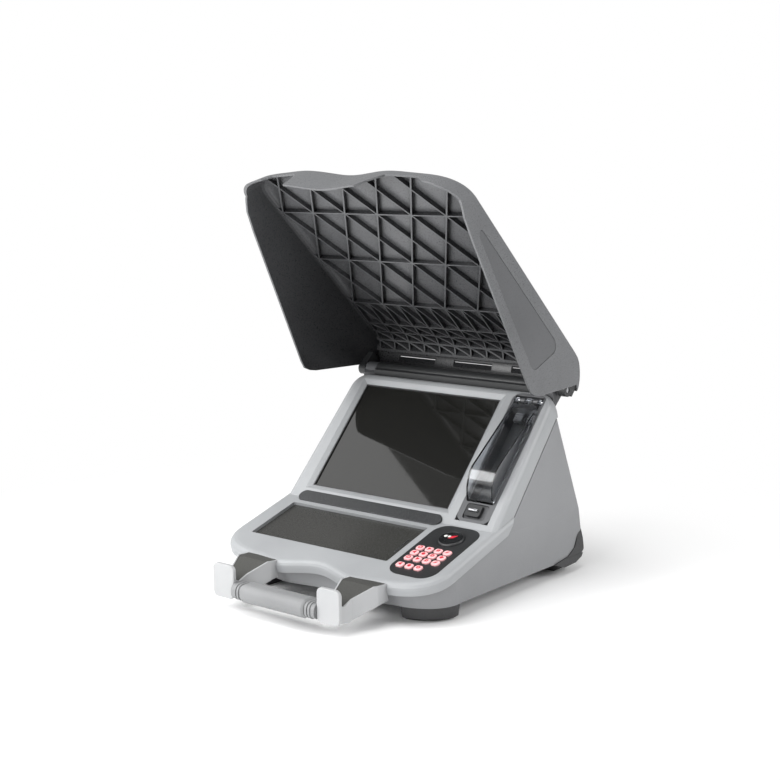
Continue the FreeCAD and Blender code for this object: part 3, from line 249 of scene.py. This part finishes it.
# %% Moulded surface group
def moulded_surface_group():
    """Grain, colour clouds, rounded and rubbed edges, and painted shade in recesses for moulded parts."""
    group = bpy.data.node_groups.new("moulded_surface", "ShaderNodeTree")
    add_group_socket(group, "Tint", "NodeSocketColor", "INPUT", (0.5, 0.5, 0.5, 1))
    add_group_socket(group, "Cloud Tint", "NodeSocketColor", "INPUT", (0.45, 0.45, 0.45, 1))
    add_group_socket(group, "Edge Tint", "NodeSocketColor", "INPUT", (0.6, 0.6, 0.6, 1))
    add_group_socket(group, "Edge Amount", "NodeSocketFloat", "INPUT", 0.5)
    add_group_socket(group, "Grain Scale", "NodeSocketFloat", "INPUT", 900.0)
    add_group_socket(group, "Grain Depth", "NodeSocketFloat", "INPUT", 0.25)
    add_group_socket(group, "Roughness", "NodeSocketFloat", "INPUT", 0.5)
    # The two recess inputs set how far and how strongly painted shade darkens recesses.
    add_group_socket(group, "Recess Shade Reach", "NodeSocketFloat", "INPUT", 0.02)
    add_group_socket(group, "Recess Shade Amount", "NodeSocketFloat", "INPUT", 0.3)
    add_group_socket(group, "Colour", "NodeSocketColor", "OUTPUT")
    add_group_socket(group, "Roughness", "NodeSocketFloat", "OUTPUT")
    add_group_socket(group, "Normal", "NodeSocketVector", "OUTPUT")
    start = group.nodes.new("NodeGroupInput")
    end = group.nodes.new("NodeGroupOutput")
    place = group.nodes.new("ShaderNodeTexCoord")
    clouds = noise_node(group, 7.0, 4.0)
    wire(group, place, "Object", clouds, "Vector")
    cloud_amount = range_node(group, 0.35, 0.68, 0.0, 1.0)
    wire(group, clouds, "Fac", cloud_amount, "Value")
    base = mix_colour(group)
    wire(group, cloud_amount, "Result", base, "Factor")
    group.links.new(start.outputs["Tint"], base.inputs[6])
    group.links.new(start.outputs["Cloud Tint"], base.inputs[7])
    bevel = group.nodes.new("ShaderNodeBevel")
    bevel.samples = 6
    bevel.inputs["Radius"].default_value = 0.0009
    geometry = group.nodes.new("ShaderNodeNewGeometry")
    agreement = group.nodes.new("ShaderNodeVectorMath")
    agreement.operation = "DOT_PRODUCT"
    group.links.new(bevel.outputs["Normal"], agreement.inputs[0])
    group.links.new(geometry.outputs["Normal"], agreement.inputs[1])
    edge = range_node(group, 0.98, 0.86, 0.0, 1.0)
    wire(group, agreement, "Value", edge, "Value")
    patches = noise_node(group, 60.0, 5.0)
    wire(group, place, "Object", patches, "Vector")
    patch_amount = range_node(group, 0.35, 0.6, 0.15, 1.0)
    wire(group, patches, "Fac", patch_amount, "Value")
    worn = math_node(group, "MULTIPLY")
    wire(group, edge, "Result", worn, 0)
    wire(group, patch_amount, "Result", worn, 1)
    worn_part = math_node(group, "MULTIPLY")
    wire(group, worn, "Value", worn_part, 0)
    wire(group, start, "Edge Amount", worn_part, 1)
    coloured = mix_colour(group)
    wire(group, worn_part, "Value", coloured, "Factor")
    group.links.new(base.outputs[2], coloured.inputs[6])
    group.links.new(start.outputs["Edge Tint"], coloured.inputs[7])
    # Painted shade: ambient occlusion finds recesses, creases and the inside of the lid, and the colour
    # there is mixed toward near-black.
    recess_occlusion = group.nodes.new("ShaderNodeAmbientOcclusion")
    recess_occlusion.samples = 6
    wire(group, start, "Recess Shade Reach", recess_occlusion, "Distance")
    depth = range_node(group, 0.92, 0.30, 0.0, 1.0)
    wire(group, recess_occlusion, "AO", depth, "Value")
    painted_shade_part = math_node(group, "MULTIPLY")
    wire(group, depth, "Result", painted_shade_part, 0)
    wire(group, start, "Recess Shade Amount", painted_shade_part, 1)
    recess_shaded = mix_colour(group)
    wire(group, painted_shade_part, "Value", recess_shaded, "Factor")
    group.links.new(coloured.outputs[2], recess_shaded.inputs[6])
    # The near-black that the painted shade mixes toward.
    recess_shaded.inputs[7].default_value = (0.006, 0.006, 0.007, 1)
    grain = noise_node(group, 900.0, 2.0)
    wire(group, place, "Object", grain, "Vector")
    wire(group, start, "Grain Scale", grain, "Scale")
    bump = group.nodes.new("ShaderNodeBump")
    bump.inputs["Distance"].default_value = 0.0004
    wire(group, start, "Grain Depth", bump, "Strength")
    wire(group, grain, "Fac", bump, "Height")
    wire(group, bevel, "Normal", bump, "Normal")
    sheen = range_node(group, 0.3, 0.7, -0.06, 0.08)
    wire(group, grain, "Fac", sheen, "Value")
    rough = math_node(group, "ADD")
    wire(group, start, "Roughness", rough, 0)
    wire(group, sheen, "Result", rough, 1)
    group.links.new(recess_shaded.outputs[2], end.inputs["Colour"])
    wire(group, rough, "Value", end, "Roughness")
    wire(group, bump, "Normal", end, "Normal")
    return group


moulded_surface = moulded_surface_group()
print("group:", moulded_surface.name, len(moulded_surface.nodes), "nodes")

# %% [markdown]
# Colours are written as the eye sees them on a screen, from 0 to 255, and turned into the linear values
# that the shader works with.

# %% Material helper


def seen(red, green, blue):
    """A screen colour as linear light."""
    linear = []
    for value in (red, green, blue):
        part = value / 255
        linear.append(part / 12.92 if part <= 0.04045 else ((part + 0.055) / 1.055) ** 2.4)
    return (*linear, 1.0)


# The last argument sets the reach and amount of the painted shade in recesses.
def moulded(name, tint, cloud, edge, edge_amount=0.5, grain=900.0, depth=0.25, roughness=0.5, specular=0.5,
            recess_shade=(0.02, 0.3)):
    """A plastic or rubber finish made with the moulded surface group."""
    material = bpy.data.materials.new(name)
    material.use_nodes = True
    tree = material.node_tree
    shader = tree.nodes["Principled BSDF"]
    shader.inputs["Specular IOR Level"].default_value = specular
    surface = tree.nodes.new("ShaderNodeGroup")
    surface.node_tree = moulded_surface
    for socket, value in (("Tint", seen(*tint)), ("Cloud Tint", seen(*cloud)), ("Edge Tint", seen(*edge)),
                          ("Edge Amount", edge_amount), ("Grain Scale", grain), ("Grain Depth", depth),
                          ("Roughness", roughness), ("Recess Shade Reach", recess_shade[0]),
                          ("Recess Shade Amount", recess_shade[1])):
        surface.inputs[socket].default_value = value
    wire(tree, surface, "Colour", shader, "Base Color")
    wire(tree, surface, "Roughness", shader, "Roughness")
    wire(tree, surface, "Normal", shader, "Normal")
    return material


# %% Materials of the large parts
bezel_plastic = moulded("bezel_plastic", (156, 158, 160), (147, 149, 151), (182, 184, 186),
                        0.5, 800, 0.22, 0.42)
shell_plastic = moulded("shell_plastic", (134, 135, 137), (126, 127, 129), (158, 160, 162),
                        0.5, 800, 0.30, 0.50)
# The lid's recess reach and amount are large, so its inside gets strong painted shade.
lid_plastic = moulded("lid_plastic", (110, 111, 113), (100, 101, 103), (146, 147, 149),
                      0.5, 700, 0.24, 0.30, recess_shade=(0.40, 0.96))
label_plastic = moulded("label_plastic", (96, 97, 99), (90, 91, 93), (112, 113, 115), 0.3, 1200, 0.10, 0.32)
handle_plastic = moulded("handle_plastic", (170, 171, 172), (162, 163, 165), (196, 197, 198),
                         0.6, 800, 0.25, 0.45)
grip_rubber = moulded("grip_rubber", (134, 135, 136), (126, 127, 128), (156, 157, 158),
                      0.4, 600, 0.45, 0.55)
pad_rubber = moulded("pad_rubber", (70, 70, 67), (62, 62, 60), (92, 92, 90), 0.4, 500, 0.6, 0.65)
foot_rubber = moulded("foot_rubber", (60, 60, 61), (52, 52, 53), (84, 84, 85), 0.5, 500, 0.5, 0.62)
dark_plastic = moulded("dark_plastic", (44, 45, 46), (38, 39, 40), (74, 75, 76), 0.4, 900, 0.2, 0.42)
back_plastic = moulded("back_plastic", (84, 85, 87), (78, 79, 81), (108, 109, 111), 0.5, 800, 0.3, 0.5)
liner_plastic = moulded("liner_plastic", (92, 93, 95), (84, 85, 87), (120, 121, 123), 0.4, 900, 0.2, 0.34)
strip_plastic = moulded("strip_plastic", (66, 67, 68), (60, 61, 62), (96, 97, 98), 0.4, 1500, 0.08, 0.24)
panel_plastic = moulded("panel_plastic", (58, 58, 56), (54, 54, 52), (86, 86, 84), 0.3, 1500, 0.06, 0.26)
key_rubber = moulded("key_rubber", (246, 190, 192), (242, 180, 183), (252, 226, 226), 0.5, 900, 0.2, 0.45)
mark_red = moulded("mark_red", (206, 40, 58), (196, 34, 50), (220, 70, 84), 0.3, 900, 0.1, 0.4)
glossy_black = moulded("glossy_black", (30, 31, 32), (26, 27, 28), (52, 53, 54), 0.3, 1500, 0.03, 0.16)
mark_white = moulded("mark_white", (226, 226, 222), (216, 216, 212), (238, 238, 235), 0.3, 900, 0.1, 0.4)
board_green = moulded("board_green", (36, 84, 54), (30, 74, 46), (70, 120, 86), 0.4, 300, 0.2, 0.4)

# %% [markdown]
# Metal and clear parts need their own shaders. Steel is metallic with a fine brushed roughness. The cover
# over the bay is clear, slightly smoked plastic, so it lets light through and bends it a little. The
# screen is a nearly black panel behind a smooth face: low roughness gives it the reflection, and faint
# dust breaks it up.

# %% Steel
steel = bpy.data.materials.new("brushed_steel")
steel.use_nodes = True
steel_tree = steel.node_tree
steel_shader = steel_tree.nodes["Principled BSDF"]
steel_shader.inputs["Metallic"].default_value = 1.0
steel_place = steel_tree.nodes.new("ShaderNodeTexCoord")
steel_stretch = steel_tree.nodes.new("ShaderNodeMapping")
steel_stretch.inputs["Scale"].default_value = (40.0, 900.0, 900.0)
steel_noise = noise_node(steel_tree, 1.0, 3.0)
wire(steel_tree, steel_place, "Object", steel_stretch, "Vector")
wire(steel_tree, steel_stretch, "Vector", steel_noise, "Vector")
steel_rough = range_node(steel_tree, 0.3, 0.7, 0.22, 0.42)
wire(steel_tree, steel_noise, "Fac", steel_rough, "Value")
wire(steel_tree, steel_rough, "Result", steel_shader, "Roughness")
steel_colour = mix_colour(steel_tree)
steel_colour.inputs[6].default_value = seen(196, 197, 200)
steel_colour.inputs[7].default_value = seen(170, 171, 175)
wire(steel_tree, steel_noise, "Fac", steel_colour, "Factor")
steel_tree.links.new(steel_colour.outputs[2], steel_shader.inputs["Base Color"])

# %% Screen glass
screen_face = bpy.data.materials.new("screen_face")
screen_face.use_nodes = True
screen_tree = screen_face.node_tree
screen_shader = screen_tree.nodes["Principled BSDF"]
screen_shader.inputs["IOR"].default_value = 1.52
screen_place = screen_tree.nodes.new("ShaderNodeTexCoord")
dust = noise_node(screen_tree, 220.0, 6.0)
wire(screen_tree, screen_place, "Object", dust, "Vector")
dust_amount = range_node(screen_tree, 0.45, 0.8, 0.03, 0.09)
wire(screen_tree, dust, "Fac", dust_amount, "Value")
wire(screen_tree, dust_amount, "Result", screen_shader, "Roughness")
screen_colour = mix_colour(screen_tree)
screen_colour.inputs[6].default_value = seen(26, 26, 25)
screen_colour.inputs[7].default_value = seen(34, 34, 32)
wire(screen_tree, dust, "Fac", screen_colour, "Factor")
screen_tree.links.new(screen_colour.outputs[2], screen_shader.inputs["Base Color"])

# %% Clear smoked plastic
clear_smoke = bpy.data.materials.new("clear_smoke")
clear_smoke.use_nodes = True
smoke_tree = clear_smoke.node_tree
smoke_shader = smoke_tree.nodes["Principled BSDF"]
smoke_shader.inputs["Transmission Weight"].default_value = 1.0
smoke_shader.inputs["IOR"].default_value = 1.45
smoke_place = smoke_tree.nodes.new("ShaderNodeTexCoord")
smears = noise_node(smoke_tree, 90.0, 4.0)
wire(smoke_tree, smoke_place, "Object", smears, "Vector")
smear_rough = range_node(smoke_tree, 0.4, 0.75, 0.02, 0.10)
wire(smoke_tree, smears, "Fac", smear_rough, "Value")
wire(smoke_tree, smear_rough, "Result", smoke_shader, "Roughness")
smoke_colour = mix_colour(smoke_tree)
smoke_colour.inputs[6].default_value = seen(238, 240, 242)
smoke_colour.inputs[7].default_value = seen(226, 228, 231)
wire(smoke_tree, smears, "Fac", smoke_colour, "Factor")
smoke_tree.links.new(smoke_colour.outputs[2], smoke_shader.inputs["Base Color"])
print("materials:", len(bpy.data.materials))

# %% [markdown]
# ## Paint the frame's parts
# Each part of the frame keeps its mesh and its place. Only its material changes.

# %% Which finish goes on which part
PARTS_BY_FINISH = [
    (bezel_plastic, ["top_bezel"]),
    (shell_plastic, ["lower_shell"]),
    (lid_plastic, ["lid_shell"]),
    (label_plastic, ["lid_label_left", "lid_label_right"]),
    (grip_rubber, ["handle_grip"]),
    (handle_plastic, ["handle_arm_left", "handle_arm_right"]),
    (pad_rubber, ["wrap_pad_left", "wrap_pad_right", "keypad_membrane"]),
    (foot_rubber, ["front_foot_left", "front_foot_right", "rear_foot_left", "rear_foot_right",
                   "display_gasket"]),
    (screen_face, ["display_glass"]),
    (dark_plastic, ["lcd_module", "keypad_plate", "round_key", "bay_latch", "hinge_cover",
                    "lid_knuckle_left", "lid_knuckle_right", "power_inlet", "battery_pack", "speaker"]),
    (strip_plastic, ["name_strip"]),
    (panel_plastic, ["control_panel"]),
    (liner_plastic, ["bay_liner"]),
    (clear_smoke, ["bay_cover"]),
    (steel, ["bay_cover_pin", "usb_sockets", "hinge_rod", "rear_cover_screws", "base_screws",
             "camera_socket"]),
    (back_plastic, ["hinge_bracket_left", "hinge_bracket_right", "rear_cover", "connector_plate"]),
    (board_green, ["main_board"]),
]
FINISHES = {part: finish for finish, parts in PARTS_BY_FINISH for part in parts}
for name, node in nodes.items():
    finish = key_rubber if name.startswith("key_") else FINISHES[name]
    node.data.materials.clear()
    node.data.materials.append(finish)
print("painted", len(nodes), "parts")

# %% [markdown]
# ## Symbols on the keys
# Each rubber key carries a small raised red symbol. A symbol starts as a flat circle with few or many
# corners: three corners give a triangle, four a square, thirty-two a disc. Where a symbol is only an
# outline, an inset makes a band of faces along the rim and the middle is deleted. A Solidify modifier
# gives it a little height and a Bevel modifier softens its edges. All are modelled lying flat, then laid
# on their key in the deck's slope, and the turn is written into the mesh so that the object stays
# unturned.

# %% Selection and placing helpers
DECK_TILT = math.radians(16.4)
EDGE_SHARE = 0.3  # how much of a symbol's height its bevel takes
deck_turn = Matrix.Rotation(DECK_TILT, 4, "X")
deck_out = deck_turn @ Vector((0, 0, 1))
screen_turn = Matrix.Rotation(SCREEN_TILT, 4, "X")


def edit_faces(obj, chosen):
    """Enters edit mode with only the faces selected that a test picks out."""
    bpy.ops.object.mode_set(mode="EDIT")
    bpy.ops.mesh.select_mode(type="FACE")
    bpy.ops.mesh.select_all(action="DESELECT")
    bpy.ops.object.mode_set(mode="OBJECT")
    for face in obj.data.polygons:
        face.select = chosen(face)
    bpy.ops.object.mode_set(mode="EDIT")


def settle(obj, turn, place):
    """Writes a turn and a place into the mesh, so that the object sits at the origin."""
    bpy.ops.object.mode_set(mode="OBJECT")
    obj.data.transform(Matrix.Translation(place) @ turn @ obj.matrix_world)
    obj.matrix_world = Matrix.Identity(4)
    obj.data.update()


def top_centre(node, outward):
    """The middle of a tilted part's outer face: its box's middle, pushed out to its furthest corner."""
    low, high = (Vector(corner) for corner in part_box(node))
    middle = (low + high) / 2
    reach = max((vertex.co - middle).dot(outward) for vertex in nodes[node].data.vertices)
    return middle + outward * reach


def raised_symbol(name, corners, radius, band, height, turned=0.0, squash=1.0):
    """A raised outline with the given number of corners; with a band of zero it is a filled shape."""
    bpy.ops.object.select_all(action="DESELECT")
    bpy.ops.mesh.primitive_circle_add(vertices=corners, radius=radius, fill_type="NGON",
                                      rotation=(0, 0, turned), location=(0, 0, 0))
    symbol = bpy.context.object
    symbol.name = name
    symbol.scale = (1.0, squash, 1.0)
    bpy.ops.object.transform_apply(location=False, rotation=True, scale=True)
    if band:
        edit_faces(symbol, lambda face: True)
        bpy.ops.mesh.inset(thickness=band)
        bpy.ops.mesh.delete(type="FACE")
    bpy.ops.object.mode_set(mode="OBJECT")
    thicken = symbol.modifiers.new("thickness", "SOLIDIFY")
    thicken.thickness = height
    thicken.offset = 1.0
    soften = symbol.modifiers.new("soft_edges", "BEVEL")
    soften.width = EDGE_SHARE * height
    soften.segments = 1
    for modifier in ("thickness", "soft_edges"):
        bpy.ops.object.modifier_apply(modifier=modifier)
    return symbol


# %% One symbol per key
# Each row: corners, radius, width of the band (0 is filled), turn, and how much it is squashed.
SYMBOLS = [
    (32, 0.0031, 0.0011, 0.0, 1.0),
    (3, 0.0034, 0.0, math.pi / 6, 1.0),
    (4, 0.0034, 0.0012, math.pi / 4, 0.8),
    (4, 0.0036, 0.0, math.pi / 4, 0.32),
    (3, 0.0034, 0.0, -math.pi / 6, 1.0),
    (24, 0.0026, 0.0, 0.0, 1.0),
    (6, 0.0032, 0.0012, 0.0, 0.9),
    (4, 0.0033, 0.0, 0.0, 0.9),
]
SYMBOL_HEIGHT = 0.00035
SYMBOL_LIFT = 0.0001
key_names = sorted(name for name in nodes if name.startswith("key_"))
for index, key_name in enumerate(key_names):
    corners, radius, band, turned, squash = SYMBOLS[index % len(SYMBOLS)]
    symbol = raised_symbol(key_name + "_symbol", corners, radius, band, SYMBOL_HEIGHT, turned, squash)
    settle(symbol, deck_turn, top_centre(key_name, deck_out) + deck_out * SYMBOL_LIFT)
    symbol.data.materials.append(mark_red)
    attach(symbol, key_name)
print("symbols on", len(key_names), "keys")

# %% [markdown]
# ## Crown and badge of the round key
# The large key is slightly domed. Its crown is a filled circle that is inset six times, each inner ring
# lifted a little less than the one before, so that the rings follow a shallow dome. A raised bar and two
# raised dots are a generic badge on it.

# %% Domed crown
CROWN_RADIUS = 0.0165
CROWN_LIFT = 0.00002
DOME_HEIGHT = 0.0016
DOME_RINGS = 6
RING_SHARE = 7.2  # the radius is divided by this for one ring's width
crown_base = top_centre("round_key", deck_out)
bpy.ops.object.select_all(action="DESELECT")
bpy.ops.mesh.primitive_circle_add(vertices=64, radius=CROWN_RADIUS, fill_type="NGON", location=(0, 0, 0))
crown = bpy.context.object
crown.name = "round_key_crown"
edit_faces(crown, lambda face: True)
for ring in range(1, DOME_RINGS + 1):
    bpy.ops.mesh.inset(thickness=CROWN_RADIUS / RING_SHARE)
    outer, inner = DOME_RINGS + 1 - ring, DOME_RINGS - ring
    step = DOME_HEIGHT * ((1 - (inner / DOME_RINGS) ** 2) - (1 - (outer / DOME_RINGS) ** 2))
    bpy.ops.transform.translate(value=(0, 0, step))
bpy.ops.mesh.select_all(action="SELECT")
bpy.ops.mesh.normals_make_consistent(inside=False)
bpy.ops.object.mode_set(mode="OBJECT")
bpy.ops.object.shade_smooth()
settle(crown, deck_turn, crown_base + deck_out * CROWN_LIFT)
crown.data.materials.append(glossy_black)
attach(crown, "round_key")
print("crown vertices:", len(crown.data.vertices))

# %% Badge
# Each row: name, place across the key, corners, radius, how much it is squashed, and its finish.
BADGE = [
    ("round_key_bar", 0.0032, 4, 0.0075, 0.42, mark_red),
    ("round_key_dot", -0.0080, 20, 0.0026, 1.0, mark_white),
    ("round_key_ring", -0.0021, 20, 0.0024, 1.0, mark_white),
]
BADGE_HEIGHT = 0.0005
BADGE_LIFT = 0.00125
for name, across, corners, radius, squash, finish in BADGE:
    turned = math.pi / 4 if corners == 4 else 0.0
    bar = raised_symbol(name, corners, radius, 0.0, BADGE_HEIGHT, turned, squash)
    settle(bar, deck_turn, crown_base + Vector((across, 0, 0)) + deck_out * BADGE_LIFT)
    bar.data.materials.append(finish)
    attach(bar, "round_key")
print("badge pieces:", len(BADGE))

# %% [markdown]
# ## Small moulded and metal details
# A narrow slot with a raised lip sits near the right end of the control panel, and the latch of the bay
# carries a bright thumb bar. The slot is not cut into the panel: a thin glossy black block on the lip is a
# painted shadow that stands for its dark gap. Each starts as a cube of the right size and gets soft edges
# from a bevel, like a part that comes out of a mould.

# %% Soft block helper and the two details


def soft_block(name, size, place, turn, rounding, finish, body):
    """A small block with rounded edges, laid on a sloped face."""
    bpy.ops.object.select_all(action="DESELECT")
    bpy.ops.mesh.primitive_cube_add(size=1.0, location=(0, 0, 0))
    block = bpy.context.object
    block.name = name
    block.scale = size
    bpy.ops.object.transform_apply(location=False, rotation=False, scale=True)
    bevel = block.modifiers.new("soft_edges", "BEVEL")
    bevel.width = rounding
    bevel.segments = 3
    bpy.ops.object.modifier_apply(modifier="soft_edges")
    bpy.ops.object.shade_smooth_by_angle(angle=math.radians(35))
    settle(block, turn, place)
    block.data.materials.append(finish)
    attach(block, body)
    print(name, "vertices:", len(block.data.vertices))


SLOT_ACROSS = 0.112  # from the panel's middle towards its right end
slot_place = top_centre("control_panel", deck_out) + Vector((SLOT_ACROSS, 0, 0))
soft_block("panel_slot_lip", (0.0026, 0.034, 0.0006), slot_place + deck_out * 0.0002, deck_turn, 0.00025,
           strip_plastic, "housing")
# The slot: a glossy black block that paints the shadow of the gap.
soft_block("slot_shadow_block", (0.0012, 0.031, 0.0004), slot_place + deck_out * 0.0004, deck_turn, 0.00015,
           glossy_black, "housing")
latch_top = top_centre("bay_latch", screen_turn @ Vector((0, 0, 1)))
soft_block("latch_thumb_bar", (0.014, 0.0034, 0.0009), latch_top, screen_turn, 0.0004, steel, "bay_latch")
